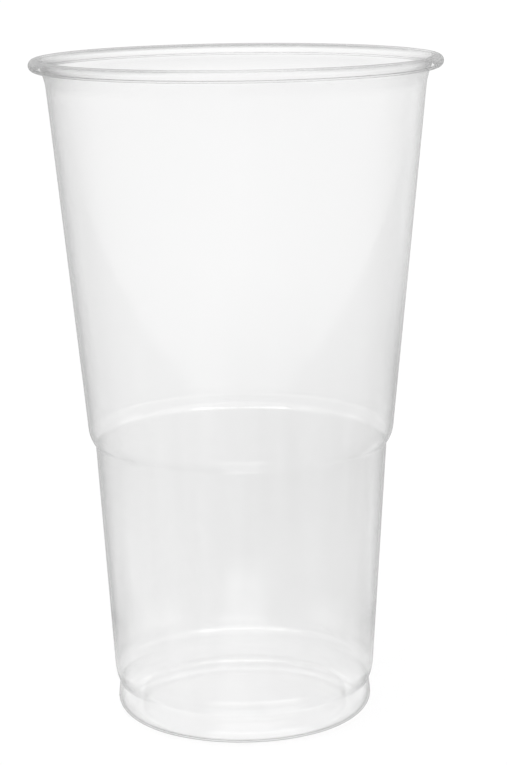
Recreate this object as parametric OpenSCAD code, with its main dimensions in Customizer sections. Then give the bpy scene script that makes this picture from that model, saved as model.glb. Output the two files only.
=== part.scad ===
// Clear disposable drinking cup, formed in one piece from thin sheet.
// A tapered tumbler with a rolled lip, a step under the upper wall,
// a second step over the foot, and a base that is raised inside its foot ring.
// The cup stands on z = 0 and its axis is Z. Sizes are in millimetres and degrees.

/* [Cup] */
// Overall height
cup_h = 155.8; // [140:0.2:175]
// Outside diameter over the rolled lip
rim_d = 95; // [90:0.5:102]
// Thickness of the sheet
sheet_t = 0.4; // [0.25:0.05:0.6]

/* [Rolled lip] */
// Height of the roll
lip_h = 2.8; // [2.2:0.1:3.4]
// How far the roll stands out from the wall
lip_out = 3.9; // [3.4:0.1:5]
// Angle through which the sheet is rolled, from the crest to its free edge
lip_turn = 210; // [150:5:215]
// Height of the flare that carries the wall out to the roll, with the roll
neck_h = 6.7; // [5:0.1:10]
// Lean of the flare where it meets the roll
neck_lean = 18; // [8:1:30]

/* [Upper step] */
// Height of the crease below the upper wall
step_z = 65.7; // [50:0.5:90]
// Height of the rounded shoulder above that crease
step_h = 3.8; // [2.5:0.1:6]
// Outside diameter at the top of the shoulder
step_d = 71.8; // [68:0.2:78]
// How far the shoulder brings the wall in
step_in = 1.6; // [0.8:0.1:2.5]

/* [Lower step] */
// Height of the crease above the foot
heel_z = 7.7; // [6:0.1:12]
// Height of the rounded shoulder above that crease
heel_h = 4.2; // [2.5:0.1:7]
// Outside diameter at the top of the shoulder
heel_d = 61.9; // [60:0.1:66]
// How far the shoulder brings the wall in
heel_in = 1.1; // [0.6:0.1:2]
// Rounding in both creases
crease_r = 0.8; // [0.5:0.1:1.5]

/* [Foot] */
// How far the foot stands out again below its crease
foot_out = 0.4; // [0:0.1:1.5]
// Height of the foot's rounded corner
foot_corner_h = 3.7; // [2:0.1:5]
// Width of that corner
foot_corner_w = 4.75; // [3:0.05:6]
// Width of the flat ring that the cup stands on
ring_w = 0.8; // [0.5:0.1:2]
// Rounding from the ring up into the recess under the base
ring_r = 0.6; // [0.5:0.05:1.2]
// Height of the recess under the base
recess_h = 4.7; // [3:0.1:6]
// Draft of the wall of the recess
recess_draft = 3; // [0:0.5:10]
// Rounding where the recess meets the base
recess_r = 0.8; // [0.3:0.1:1.5]

/* [Hidden] */
$fn = 180;
ROLL_STEPS = 14;
CREST_STEPS = 5;
BEND_STEPS = 8;
FILLET_STEPS = 4;

// Plane geometry, on [radius, height] points
function dir(a) = [cos(a), sin(a)];
function unit(v) = v / norm(v);
function left_of(v) = [-v.y, v.x];
function arc(c, r, a0, a1, n) = [for (i = [0:n]) c + r * dir(a0 + (a1 - a0) * i / n)];

// Quarter ellipse from p, where it runs level outward, to q, where it runs upright
function ellipse_corner(p, q, n) =
    [for (i = [0:n]) let (a = 90 * i / n) [p.x + (q.x - p.x) * sin(a), q.y + (p.y - q.y) * cos(a)]];

// Arc that leaves p in direction d and ends at q
function arc_to(p, d, q, n) =
    let (
        ahead = unit(d),
        aside = left_of(ahead),
        chord = q - p,
        bend = 2 * (chord * aside) / (chord * chord),
        turn = 2 * atan2(chord * aside, chord * ahead)
    )
    [for (i = [0:n]) let (a = turn * i / n) p + (ahead * sin(a) + aside * (1 - cos(a))) / bend];

// Rounded corner at q on the way from p to s
function corner(p, q, s, r) =
    let (
        before = unit(q - p),
        after = unit(s - q),
        half = acos(before * after) / 2,
        reach = r * tan(half)
    )
    arc_to(q - before * reach, before, q + after * reach, FILLET_STEPS);

// Curve that leaves p in direction d and arrives at q in direction e
function blend(p, d, q, e, n) =
    let (
        reach = norm(q - p) / 3,
        p1 = p + unit(d) * reach,
        q1 = q - unit(e) * reach
    )
    [for (i = [0:n]) let (t = i / n, s = 1 - t)
        s * s * s * p + 3 * s * s * t * p1 + 3 * s * t * t * q1 + t * t * t * q];

// The path moved to its left by a distance, with mitred corners
function shifted(path, distance) =
    let (last = len(path) - 1)
    [for (i = [0:last])
        let (
            before = left_of(unit(path[max(i, 1)] - path[max(i, 1) - 1])),
            after = left_of(unit(path[min(i, last - 1) + 1] - path[min(i, last - 1)])),
            bisector = before + after
        )
        path[i] + bisector * 2 * distance / (bisector * bisector)];

function backward(path) = [for (i = [len(path) - 1:-1:0]) path[i]];
function without_first(path) = [for (i = [1:len(path) - 1]) path[i]];
function without_last(path) = [for (i = [0:len(path) - 2]) path[i]];

// Corners of the outer face, from the neck down to the middle of the base
neck_low = [rim_d / 2 - lip_out, cup_h - neck_h];
shoulder_top = [step_d / 2, step_z + step_h];
shoulder_low = [step_d / 2 - step_in, step_z];
heel_top = [heel_d / 2, heel_z + heel_h];
heel_low = [heel_d / 2 - heel_in, heel_z];
foot_side = [heel_low.x + foot_out, foot_corner_h];
ring_out = [foot_side.x - foot_corner_w, 0];
recess_low = [ring_out.x - ring_w - ring_r, 0];
recess_top = [recess_low.x - recess_h * tan(recess_draft), recess_h];
base_mid = [0, recess_h];

// The two shoulders are arcs that carry on from the walls above them
shoulder = arc_to(shoulder_top, shoulder_top - neck_low, shoulder_low, BEND_STEPS);
heel = arc_to(heel_top, heel_top - shoulder_low, heel_low, BEND_STEPS);

body_face = concat(
    [neck_low],
    without_last(shoulder),
    corner(shoulder[BEND_STEPS - 1], shoulder_low, heel_top, crease_r),
    without_last(heel),
    corner(heel[BEND_STEPS - 1], heel_low, foot_side, crease_r),
    backward(ellipse_corner(ring_out, foot_side, BEND_STEPS)),
    corner(ring_out, recess_low, recess_top, ring_r),
    corner(recess_low, recess_top, base_mid, recess_r),
    [base_mid]
);

// The middle of the sheet: the roll from its free edge over the crest, the flare and the body
body = shifted(body_face, -sheet_t / 2);
roll_mid = [rim_d / 2 - lip_h / 2, cup_h - lip_h / 2];
roll_r = (lip_h - sheet_t) / 2;
roll = arc(roll_mid, roll_r, 90 - lip_turn, 90, ROLL_STEPS);
crest = arc(roll_mid, roll_r, 90, 180 - neck_lean, CREST_STEPS);
neck = blend(crest[CREST_STEPS], left_of(dir(180 - neck_lean)), body[0], shoulder_top - neck_low, BEND_STEPS);
sheet = concat(roll, without_first(crest), without_first(neck), without_first(body));

module cup() {
    color([0.93, 0.95, 0.96, 0.45])
        rotate_extrude()
            polygon(concat(shifted(sheet, sheet_t / 2), backward(shifted(sheet, -sheet_t / 2))));
}

cup();
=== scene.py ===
# A clear disposable tumbler on a white studio floor. Metres, Z up, the cup's axis is Z.
from math import radians, tan

import bmesh
import bpy
from mathutils import Matrix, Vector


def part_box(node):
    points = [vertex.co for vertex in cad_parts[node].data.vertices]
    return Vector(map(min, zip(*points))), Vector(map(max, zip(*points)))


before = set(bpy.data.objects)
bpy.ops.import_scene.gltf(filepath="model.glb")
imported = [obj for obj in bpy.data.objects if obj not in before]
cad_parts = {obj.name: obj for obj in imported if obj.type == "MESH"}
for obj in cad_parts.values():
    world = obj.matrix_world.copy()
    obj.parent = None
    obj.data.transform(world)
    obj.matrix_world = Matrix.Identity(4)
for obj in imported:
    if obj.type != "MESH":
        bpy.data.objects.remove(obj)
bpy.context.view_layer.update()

CUP_LOW, CUP_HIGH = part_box("cup")
CUP_HEIGHT = CUP_HIGH.z - CUP_LOW.z

# Camera: where the photograph was taken from
CAMERA_BACK = 0.5546
CAMERA_UP = 0.1924
CAMERA_PITCH = 11.516
CAMERA_YAW = 0.318
CAMERA_ROLL = -0.748
CAMERA_LENS = 113.28
SENSOR = 36

# Studio
WHITE = (1, 1, 1, 1)
FLOOR_SIZE = 12
FLOOR_COLOUR = (0.96, 0.96, 0.96, 1)
FLOOR_BELOW = 1e-4
# How much of the cup's shadow the floor keeps
FLOOR_SHADE = 0.15
AMBIENT = 0.78
# Lamps as (name, azimuth, elevation, strength, angle across)
SUNS = (("key_left", -40, 50, 1.2, 60), ("fill_right", 50, 40, 0.5, 60))
# What the gloss sees above: a long window light in front of the cup
LIGHT_LOW = (-0.9, -0.85)
LIGHT_HIGH = (0.9, -0.35)
LIGHT_HEIGHT = 1.6
LIGHT_TONE = 4
# What the gloss sees of the table: rings at a distance from the cup's axis, each with its brightness
# all round it as (azimuth from the back, clockwise from above, brightness)
TABLE_SIZE = 8
TABLE_BELOW = 6e-5
TABLE_RINGS = (
    (0.028, (
        (-180, 0.2), (-145, 0.2), (-110, 0.6), (-60, 0.7), (60, 0.7), (110, 0.6), (145, 0.2), (180, 0.2),
    )),
    (0.031, (
        (-180, 0.8), (-166, 0.8), (-156, 0.2), (-110, 0.6), (-60, 0.6), (60, 0.6),
        (110, 0.6), (140, 0.2), (152, 0.8), (180, 0.8),
    )),
    (0.038, (
        (-180, 1.6), (-166, 1.6), (-156, 0.2), (-115, 0.6), (-75, 0.8), (0, 0.5),
        (75, 0.65), (115, 0.6), (140, 0.2), (152, 1.6), (180, 1.6),
    )),
    (0.046, (
        (-180, 0.6), (-168, 0.6), (-158, 0.2), (-115, 0.4), (-100, 0.8), (-88, 1.25), (-75, 1.1), (0, 0.6),
        (75, 1.1), (88, 1.25), (100, 0.8), (115, 0.4), (158, 0.2), (168, 0.6), (180, 0.6),
    )),
    (0.085, (
        (-180, 0.6), (-168, 0.6), (-160, 0.4), (-107, 0.4), (-75, 0.3), (-60, 0.6), (-45, 0.5), (0, 0.5),
        (45, 0.6), (58, 0.7), (75, 0.3), (107, 0.15), (160, 0.3), (168, 0.6), (180, 0.6),
    )),
    (0.1, (
        (-180, 1.0), (-168, 1.0), (-160, 0.5), (-107, 0.45), (-75, 0.33), (-60, 0.75), (-45, 0.63), (0, 0.5),
        (45, 0.72), (58, 0.9), (75, 0.35), (107, 0.12), (160, 0.25), (168, 1.0), (180, 1.0),
    )),
    (0.15, (
        (-180, 0.25), (-150, 0.5), (-107, 0.6), (-75, 0.4), (-60, 0.75), (-43, 0.7), (0, 0.5),
        (43, 0.75), (58, 0.9), (75, 0.25), (107, 0.06), (150, 0.06), (180, 0.15),
    )),
    (0.35, (
        (-180, 0.22), (-150, 0.2), (-107, 0.2), (-72, 0.15), (-58, 0.35), (-45, 0.6), (-30, 0.6), (0, 0.5),
        (30, 0.58), (45, 0.58), (55, 0.4), (72, 0.1), (107, 0.06), (150, 0.08), (180, 0.22),
    )),
    (0.6, (
        (-180, 0.22), (-150, 0.15), (-107, 0.12), (-72, 0.12), (-58, 0.3), (-45, 0.55), (-30, 0.7), (0, 0.5),
        (30, 0.9), (45, 0.85), (55, 0.5), (72, 0.15), (107, 0.08), (150, 0.1), (180, 0.22),
    )),
)
# What the gloss sees of the room, as (elevation, brightness), at the back and in front. The two blend
# from the middle to ROOM_BLEND behind it
ROOM_RADIUS = 4
ROOM_SIDES = 64
ROOM_BLEND = 2
ROOM_BACK = ((0, 0.75), (1.5, 0.85), (4, 0.95), (24, 0.95), (32, 2.2), (56, 2.2))
ROOM_FRONT = ((0, 0.75), (1.5, 0.85), (4, 0.95), (7, 0.95), (10, 0.5), (34, 0.5), (40, 1.3), (56, 1.3))

# Sheet: how deep the haze of one face is, as (height over the cup's height, depth), seen squarely and
# at its edges, and how bright the haze is. The share of light it takes is 1 - exp(-depth)
HAZE_DEPTHS = (
    (0.0, 0.008), (0.012, 0.008), (0.018, 0.014), (0.035, 0.014), (0.06, 0.04), (0.14, 0.05), (0.3, 0.054),
    (0.36, 0.062), (0.42, 0.06), (0.46, 0.028), (0.56, 0.014), (0.65, 0.002), (1.0, 0.003),
)
EDGE_DEPTHS = (
    (0.0, 0.004), (0.015, 0.006), (0.025, 0.013), (0.075, 0.013), (0.09, 0.006), (0.955, 0.006),
    (0.965, 0.018), (0.979, 0.018), (0.985, 0.031), (0.99, 0.031), (0.994, 0.006), (1.0, 0.006),
)
HAZE_TONES = ((0.0, 0.56), (0.976, 0.56), (0.984, 0.42), (0.991, 0.42), (0.996, 0.5), (1.0, 0.5))
# How much of the haze is lit from behind
BACKLIT = 0.5
# What the very outline gains in depth, and the least cosine that an edge is reckoned with
OUTLINE_DEPTH = 0.0001
LEAST_COSINE = 0.03
# Streaks from the drawing of the sheet, fine across and long upwards
STREAK_SCALE = (130, 130, 7)
STREAK_DETAIL = 2
STREAK_SHARE = 0.55
# Painted shade, one side darker than the other: how much stronger the haze is at the right end, and, by
# height, the edges at the left end
SHADE_PAINTED_TO_THE_RIGHT = 0.3
EDGE_SHADE_PAINTED_TO_THE_LEFT = ((0.0, 0.14), (0.979, 0.14), (0.985, 0.45), (1.0, 0.45))
# The neck and the crest of the lip are hazier: partly the haze of the rolled sheet, partly painted shade
# that makes them darker, the more so at the back. The shares follow the place round the lip, from -1 in
# front to 1 at the back
RIM_HAZE_AND_SHADE_DEPTHS = (
    (0.0, 0), (0.955, 0), (0.97, 0.025), (0.979, 0.035), (0.984, 0), (0.995, 0), (0.998, 0.26), (1.0, 0.26),
)
RIM_HAZE_AND_SHADE_SHARES = (
    (-1, 0.25), (-0.9, 0.7), (-0.6, 1.1), (-0.3, 1.1), (0, 0.3),
    (0.3, 0.5), (0.5, 1.8), (0.75, 2.6), (1, 2.6),
)
# Painted shade: the crest's edges are darker towards both sides, but not at its very ends
CREST_SHADE_DEPTHS = ((0.0, 0), (0.995, 0), (0.998, 0.06), (1.0, 0.06))
CREST_SHADE_SHARES = ((-1, 0.6), (-0.9, 1.4), (-0.35, 1.4), (-0.1, 0), (0.3, 0), (0.6, 0.7), (1, 0.7))
# Painted light: the raised base, inside the foot ring, is made clearer and so lighter, without the edge haze
# and with less gloss
BASE_RADIUS = 0.0252
RING_RADIUS = 0.027
BASE_GLOSS = 0.45
# The gloss: its share seen squarely, and the most that it grows to at an edge
GLOSS_ROUGHNESS = 0.05
GLOSS_SQUARE = 0.04
GLOSS_MOST = 0.4
# How much of the gloss is left on the rolled lip, as (height over the cup's height, share)
GLOSS_LEFT = ((0.0, 1), (0.976, 1), (0.985, 0.35), (1.0, 0.35))
# How much more the lower shoulder's gloss leans to the light above, as (height over the cup's height, slope)
GLOSS_LEANS = ((0.0, 0), (0.053, 0), (0.063, 0.64), (0.073, 0), (1.0, 0))
# How many faces of clear sheet a ray of light may pass
MOST_FACES = 64


def smooth_surface(cup):
    """Joins the strips of the turned section, so the light runs over them without facets."""
    weld = cup.modifiers.new("join_strips", "WELD")
    weld.merge_threshold = 1e-5
    normals = cup.modifiers.new("even_normals", "WEIGHTED_NORMAL")
    normals.mode = "FACE_AREA"
    normals.weight = 50
    normals.keep_sharp = False


class Tree:
    """Adds nodes to a node tree, and links whatever is given for a socket."""

    def __init__(self, tree):
        self.tree = tree
        self.tree.nodes.clear()

    def node(self, kind, inputs=None, **settings):
        made = self.tree.nodes.new(kind)
        for name, value in settings.items():
            setattr(made, name, value)
        for socket, value in (inputs or {}).items():
            if isinstance(value, bpy.types.NodeSocket):
                self.tree.links.new(value, made.inputs[socket])
            else:
                made.inputs[socket].default_value = value
        return made

    def math(self, operation, *values, clamp=False):
        inputs = dict(enumerate(values))
        return self.node("ShaderNodeMath", inputs, operation=operation, use_clamp=clamp).outputs[0]

    def mix(self, share, first, second):
        return self.node("ShaderNodeMixShader", {0: share, 1: first, 2: second}).outputs[0]

    def tones(self, value, stops):
        """A number that follows value along stops, which are (value, number) pairs in order."""
        low, high = stops[0][0], stops[-1][0]
        place = self.node("ShaderNodeMapRange", {"Value": value, "From Min": low, "From Max": high})
        made = self.node("ShaderNodeValToRGB", {0: place.outputs[0]})
        marks = made.color_ramp.elements
        while len(marks) < len(stops):
            marks.new(0.5)
        for mark, (at, tone) in zip(marks, stops):
            mark.position = (at - low) / (high - low)
            mark.color = (tone, tone, tone, 1)
        return made.outputs["Color"]


def seen_directly(tree):
    """1 for rays that show a thing, by sight, in a mirror or through glass, and 0 for those of light."""
    path = tree.node("ShaderNodeLightPath").outputs
    sight = tree.math("ADD", path["Is Camera Ray"], path["Is Glossy Ray"])
    return tree.math("ADD", sight, path["Is Transmission Ray"], clamp=True)


def new_material(name):
    material = bpy.data.materials.new(name)
    material.use_nodes = True
    return material, Tree(material.node_tree)


def clear_plastic():
    """Clear sheet with a slight milky haze. The haze and the gloss grow as the sheet is seen edge-on."""
    material, tree = new_material("clear_plastic_sheet")
    place = tree.node("ShaderNodeTexCoord").outputs["Object"]
    axes = tree.node("ShaderNodeSeparateXYZ", {0: place}).outputs
    share_of_height = tree.math("DIVIDE", axes["Z"], CUP_HEIGHT)
    flattened = tree.node("ShaderNodeVectorMath", {0: place, 1: (1, 1, 0)}, operation="MULTIPLY").outputs[0]
    radius = tree.node("ShaderNodeVectorMath", {0: flattened}, operation="LENGTH").outputs["Value"]
    outward = tree.node("ShaderNodeVectorMath", {0: flattened}, operation="NORMALIZE").outputs[0]
    to_the_right = tree.math("DIVIDE", axes["X"], radius)
    to_the_back = tree.math("DIVIDE", axes["Y"], radius)
    # Painted light: 0 on the raised base, which then gets no edge haze and less gloss, and 1 outside it
    beside_base = tree.tones(radius, ((BASE_RADIUS, 0), (RING_RADIUS, 1)))

    facing = tree.node("ShaderNodeLayerWeight", {"Blend": 0.5}).outputs["Facing"]
    cosine = tree.math("MAXIMUM", tree.math("SUBTRACT", 1, facing), LEAST_COSINE)
    slant = tree.math("SUBTRACT", tree.math("POWER", cosine, -2), 1)
    # Painted shade on the crest's edges, by the place round the lip
    crest = tree.tones(to_the_back, CREST_SHADE_SHARES)
    crest = tree.math("MULTIPLY", tree.tones(share_of_height, CREST_SHADE_DEPTHS), crest)
    edge = tree.math("ADD", tree.tones(share_of_height, EDGE_DEPTHS), crest)
    edge = tree.math("MULTIPLY", edge, slant)
    edge = tree.math("MULTIPLY_ADD", tree.math("POWER", cosine, -4), OUTLINE_DEPTH, edge)
    # Painted shade: the edges are darker at the left end and lighter at the right
    painted_side_shade = tree.math("MULTIPLY", to_the_right, tree.tones(share_of_height, EDGE_SHADE_PAINTED_TO_THE_LEFT))
    edge = tree.math("MULTIPLY", edge, tree.math("SUBTRACT", 1, painted_side_shade))
    drawn = tree.node("ShaderNodeMapping", {"Vector": place, "Scale": STREAK_SCALE}).outputs[0]
    grain = {"Vector": drawn, "Scale": 1, "Detail": STREAK_DETAIL}
    noise = tree.node("ShaderNodeTexNoise", grain).outputs["Fac"]
    streaks = tree.math("MULTIPLY_ADD", tree.math("SUBTRACT", noise, 0.5), 2 * STREAK_SHARE, 1)
    flat = tree.math("MULTIPLY", tree.tones(share_of_height, HAZE_DEPTHS), streaks)
    # Painted shade: the haze is stronger towards the right end
    flat = tree.math("MULTIPLY", flat, tree.math("MULTIPLY_ADD", to_the_right, SHADE_PAINTED_TO_THE_RIGHT, 1))
    # Haze of the rolled lip, and painted shade that darkens the back of it
    rim_haze_and_shade = tree.math("MULTIPLY", tree.tones(share_of_height, RIM_HAZE_AND_SHADE_DEPTHS), tree.tones(to_the_back, RIM_HAZE_AND_SHADE_SHARES))
    depth = tree.math("ADD", tree.math("MULTIPLY_ADD", edge, beside_base, flat), rim_haze_and_shade)
    passed = tree.math("EXPONENT", tree.math("MULTIPLY", depth, -1))
    haze_share = tree.math("SUBTRACT", 1, passed)

    clear = tree.node("ShaderNodeBsdfTransparent", {"Color": WHITE}).outputs[0]
    haze_tone = tree.tones(share_of_height, HAZE_TONES)
    lit = tree.node("ShaderNodeBsdfDiffuse", {"Color": haze_tone}).outputs[0]
    backlit = tree.node("ShaderNodeBsdfTranslucent", {"Color": haze_tone}).outputs[0]
    haze = tree.mix(BACKLIT, lit, backlit)
    body = tree.mix(haze_share, clear, haze)

    grazing = tree.math("POWER", facing, 5)
    gloss_share = tree.math("MULTIPLY_ADD", grazing, 1 - GLOSS_SQUARE, GLOSS_SQUARE)
    gloss_share = tree.math("MINIMUM", gloss_share, GLOSS_MOST)
    part_of_it = tree.math("MULTIPLY_ADD", beside_base, 1 - BASE_GLOSS, BASE_GLOSS)
    part_of_it = tree.math("MULTIPLY", part_of_it, tree.tones(share_of_height, GLOSS_LEFT))
    gloss_share = tree.math("MULTIPLY", gloss_share, part_of_it)
    normal = tree.node("ShaderNodeNewGeometry").outputs["Normal"]
    inside = tree.node("ShaderNodeVectorMath", {0: normal, 1: outward}, operation="DOT_PRODUCT")
    inward = tree.math("MULTIPLY", inside.outputs["Value"], -1)
    lean = tree.math("MULTIPLY", tree.tones(share_of_height, GLOSS_LEANS), inward)
    lean = tree.node("ShaderNodeCombineXYZ", {"Z": lean}).outputs[0]
    leaning = tree.node("ShaderNodeVectorMath", {0: normal, 1: lean}, operation="ADD").outputs[0]
    leaning = tree.node("ShaderNodeVectorMath", {0: leaning}, operation="NORMALIZE").outputs[0]
    gloss = tree.node(
        "ShaderNodeBsdfGlossy",
        {"Color": WHITE, "Roughness": GLOSS_ROUGHNESS, "Normal": leaning},
    ).outputs[0]
    tree.node("ShaderNodeOutputMaterial", {"Surface": tree.mix(gloss_share, body, gloss)})
    return material


def add_patch(name, low, high, height):
    """A flat rectangle that lies level."""
    mesh = bpy.data.meshes.new(name)
    corners = [(low[0], low[1], 0), (high[0], low[1], 0), (high[0], high[1], 0), (low[0], high[1], 0)]
    mesh.from_pydata(corners, [], [(0, 1, 2, 3)])
    patch = bpy.data.objects.new(name, mesh)
    bpy.context.scene.collection.objects.link(patch)
    patch.location.z = height
    return patch


def add_floor():
    """A white floor: it shows white, and keeps a part of the shade that falls on it."""
    half = FLOOR_SIZE / 2
    floor = add_patch("floor", (-half, -half), (half, half), CUP_LOW.z - FLOOR_BELOW)
    material, tree = new_material("floor")
    lit = tree.node("ShaderNodeBsdfDiffuse", {"Color": FLOOR_COLOUR}).outputs[0]
    white = tree.node("ShaderNodeEmission", {"Color": WHITE, "Strength": 1}).outputs[0]
    shown = tree.math("MULTIPLY", seen_directly(tree), 1 - FLOOR_SHADE)
    tree.node("ShaderNodeOutputMaterial", {"Surface": tree.mix(shown, lit, white)})
    floor.data.materials.append(material)


def add_world():
    """White wherever it is seen, and a weaker, even light on things."""
    world = bpy.data.worlds.new("studio")
    world.use_nodes = True
    bpy.context.scene.world = world
    tree = Tree(world.node_tree)
    strength = tree.node(
        "ShaderNodeMapRange",
        {"Value": seen_directly(tree), "To Min": AMBIENT, "To Max": 1},
    ).outputs[0]
    light = tree.node("ShaderNodeBackground", {"Color": WHITE, "Strength": strength}).outputs[0]
    tree.node("ShaderNodeOutputWorld", {"Surface": light})


def shine(tree, tone):
    light = tree.node("ShaderNodeEmission", {"Color": WHITE, "Strength": tone}).outputs[0]
    tree.node("ShaderNodeOutputMaterial", {"Surface": light})


def show_to_gloss_only(obj, material):
    obj.data.materials.append(material)
    for kind in ("camera", "diffuse", "transmission", "volume_scatter", "shadow"):
        setattr(obj, "visible_" + kind, False)


def add_table():
    """The grey table that the gloss sees round the cup, pale at the foot."""
    half = TABLE_SIZE / 2
    table = add_patch("table", (-half, -half), (half, half), CUP_LOW.z - TABLE_BELOW)
    material, tree = new_material("table")
    place = tree.node("ShaderNodeTexCoord").outputs["Object"]
    distance = tree.node("ShaderNodeVectorMath", {0: place}, operation="LENGTH").outputs["Value"]
    axes = tree.node("ShaderNodeSeparateXYZ", {0: place}).outputs
    azimuth = tree.math("DEGREES", tree.math("ARCTAN2", axes["X"], axes["Y"]))
    tone = tree.tones(azimuth, TABLE_RINGS[0][1])
    for (start, _), (end, tones) in zip(TABLE_RINGS, TABLE_RINGS[1:]):
        reached = tree.tones(distance, ((start, 0), (end, 1)))
        change = tree.math("SUBTRACT", tree.tones(azimuth, tones), tone)
        tone = tree.math("MULTIPLY_ADD", reached, change, tone)
    shine(tree, tone)
    show_to_gloss_only(table, material)


def add_light_above():
    light = add_patch("light_above", LIGHT_LOW, LIGHT_HIGH, LIGHT_HEIGHT)
    material, tree = new_material("light_above")
    shine(tree, LIGHT_TONE)
    show_to_gloss_only(light, material)


def add_room():
    """The room that the gloss sees round the cup: a pale band at the horizon, grey walls, open above."""
    mesh = bpy.data.meshes.new("room")
    turned = bmesh.new()
    top = tan(radians(ROOM_BACK[-1][0])) * ROOM_RADIUS
    ends = {"radius1": ROOM_RADIUS, "radius2": ROOM_RADIUS}
    bmesh.ops.create_cone(turned, segments=ROOM_SIDES, depth=top, **ends)
    bmesh.ops.translate(turned, verts=turned.verts, vec=(0, 0, top / 2))
    turned.to_mesh(mesh)
    turned.free()
    room = bpy.data.objects.new("room", mesh)
    bpy.context.scene.collection.objects.link(room)
    material, tree = new_material("room")
    place = tree.node("ShaderNodeTexCoord").outputs["Object"]
    axes = tree.node("ShaderNodeSeparateXYZ", {0: place}).outputs
    slope = tree.math("DIVIDE", axes["Z"], ROOM_RADIUS)
    to_back, to_front = (
        tree.tones(slope, [(tan(radians(elevation)), tone) for elevation, tone in tones])
        for tones in (ROOM_BACK, ROOM_FRONT)
    )
    at_back = tree.tones(axes["Y"], ((0, 0), (ROOM_BLEND, 1)))
    tone = tree.math("MULTIPLY_ADD", tree.math("SUBTRACT", to_back, to_front), at_back, to_front)
    shine(tree, tone)
    show_to_gloss_only(room, material)


def add_sun(name, azimuth, elevation, strength, spread):
    lamp = bpy.data.lights.new(name, "SUN")
    lamp.energy = strength
    lamp.angle = radians(spread)
    obj = bpy.data.objects.new(name, lamp)
    bpy.context.scene.collection.objects.link(obj)
    obj.rotation_euler = (radians(90 - elevation), 0, radians(azimuth))
    obj.visible_glossy = False
    obj.visible_camera = False


def add_camera():
    camera = bpy.data.objects.new("camera", bpy.data.cameras.new("camera"))
    bpy.context.scene.collection.objects.link(camera)
    camera.data.lens = CAMERA_LENS
    camera.data.sensor_width = SENSOR
    turn = Matrix.Rotation(radians(-CAMERA_YAW), 4, "Z")
    tilt = Matrix.Rotation(radians(90 - CAMERA_PITCH), 4, "X")
    roll = Matrix.Rotation(radians(CAMERA_ROLL), 4, "Z")
    camera.matrix_world = Matrix.Translation((0, -CAMERA_BACK, CAMERA_UP)) @ turn @ tilt @ roll
    bpy.context.scene.camera = camera


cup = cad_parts["cup"]
smooth_surface(cup)
cup.data.materials.clear()
cup.data.materials.append(clear_plastic())

add_floor()
add_world()
add_table()
add_light_above()
add_room()
for sun in SUNS:
    add_sun(*sun)
add_camera()

scene = bpy.context.scene
scene.view_settings.view_transform = "Standard"
scene.cycles.transparent_max_bounces = MOST_FACES
